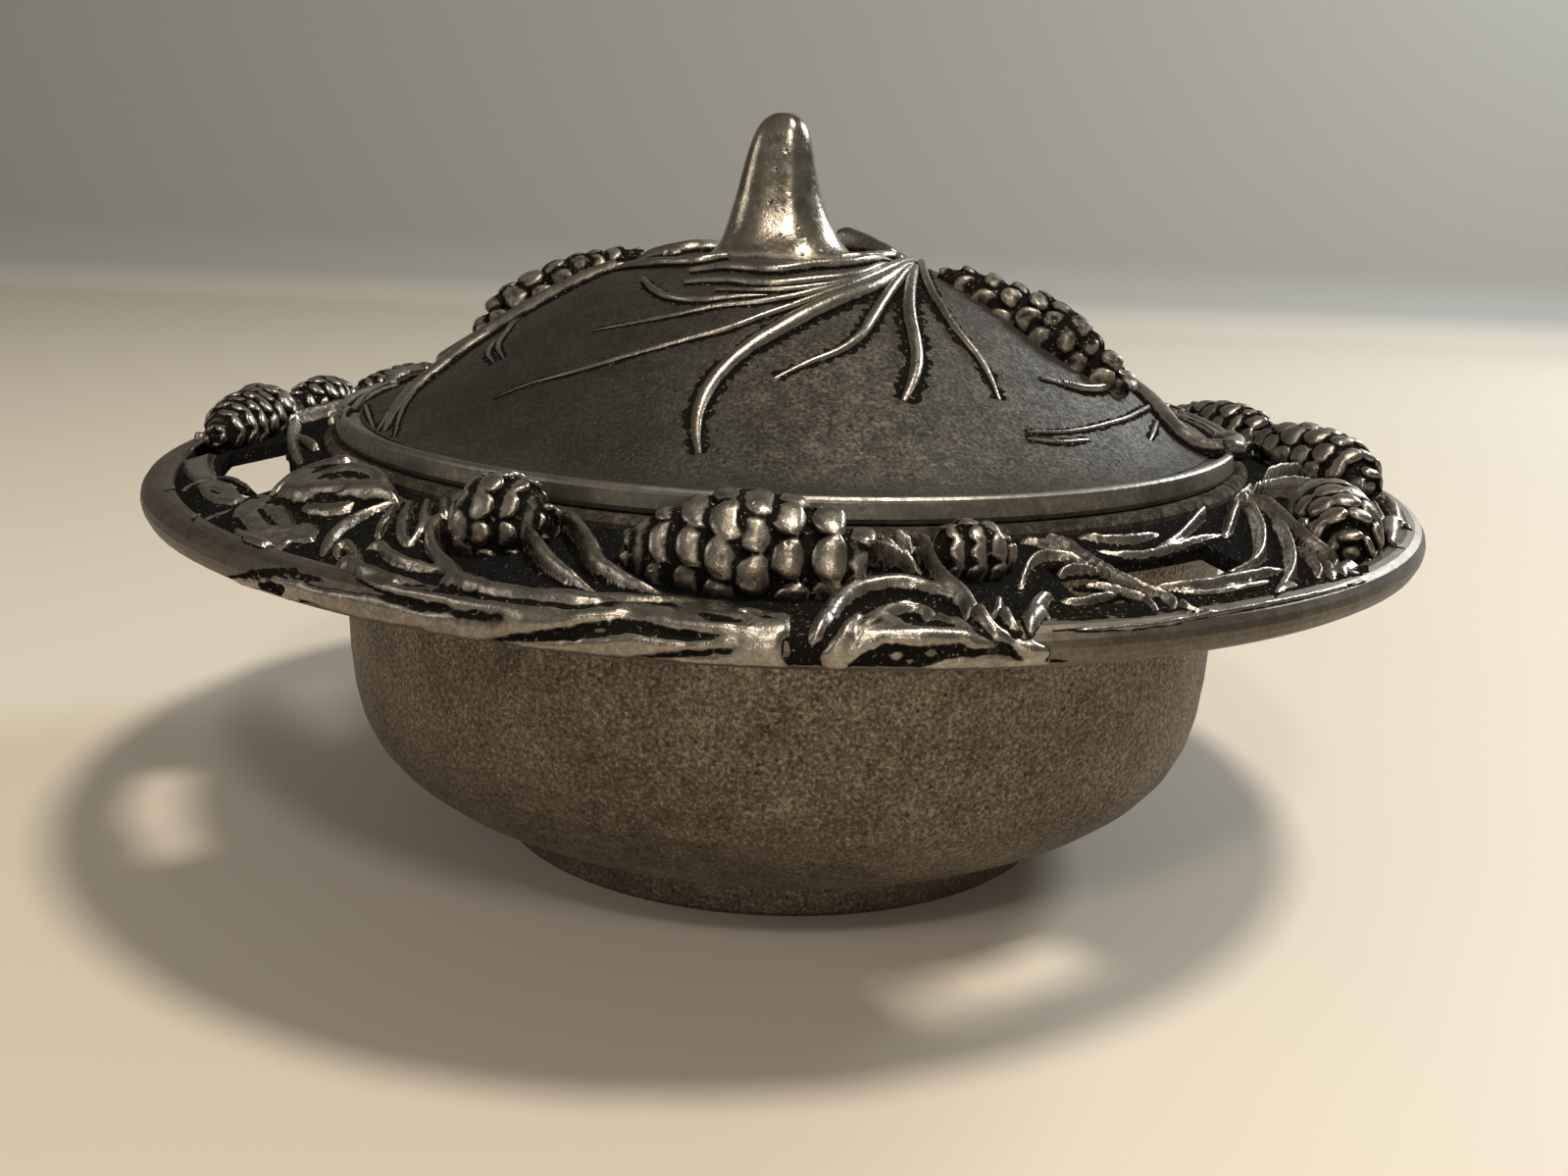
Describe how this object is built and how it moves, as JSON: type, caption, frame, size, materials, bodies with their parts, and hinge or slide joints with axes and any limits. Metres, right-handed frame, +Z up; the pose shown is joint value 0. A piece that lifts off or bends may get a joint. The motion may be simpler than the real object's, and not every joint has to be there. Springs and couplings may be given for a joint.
{
  "type": "lidded serving bowl",
  "caption": "Round cast-pewter serving bowl with a wide pierced rim and a lift-off domed lid, both in pine-cone and needle relief, with a branch-stub finial.",
  "frame": {"origin": "centre of the foot ring's underside, on the table", "axes": "+Z up, the way the lid lifts off; +X to the right and -Y towards the viewer in the picture"},
  "size_m": [0.2, 0.2, 0.1149],
  "materials": {
    "cast_body": "as-cast pewter, porous, brown-grey patina",
    "relief_ground": "darkened satin pewter",
    "polished_relief": "hand-polished pewter, dark in its recesses"
  },
  "bodies": {
    "bowl": {"bowl_wall": "cast_body", "foot_ring": "cast_body", "rim_ledge": "cast_body", "rim_web": "relief_ground", "rim_hoop": "polished_relief", "rim_cones": "polished_relief", "rim_needles": "polished_relief", "rim_strands": "polished_relief", "rim_leaves": "polished_relief", "rim_knots": "polished_relief"},
    "lid": {"lid_dome": "relief_ground", "lid_band": "polished_relief", "lid_spigot": "cast_body", "lid_cones": "polished_relief", "lid_needles": "polished_relief", "lid_knots": "polished_relief", "finial": "polished_relief", "finial_root": "polished_relief"}
  },
  "joints": [
    {"name": "lid_lift", "type": "slide", "parent": "bowl", "child": "lid", "axis": [0, 0, 1], "range_m": [0, 0.12]}
  ]
}
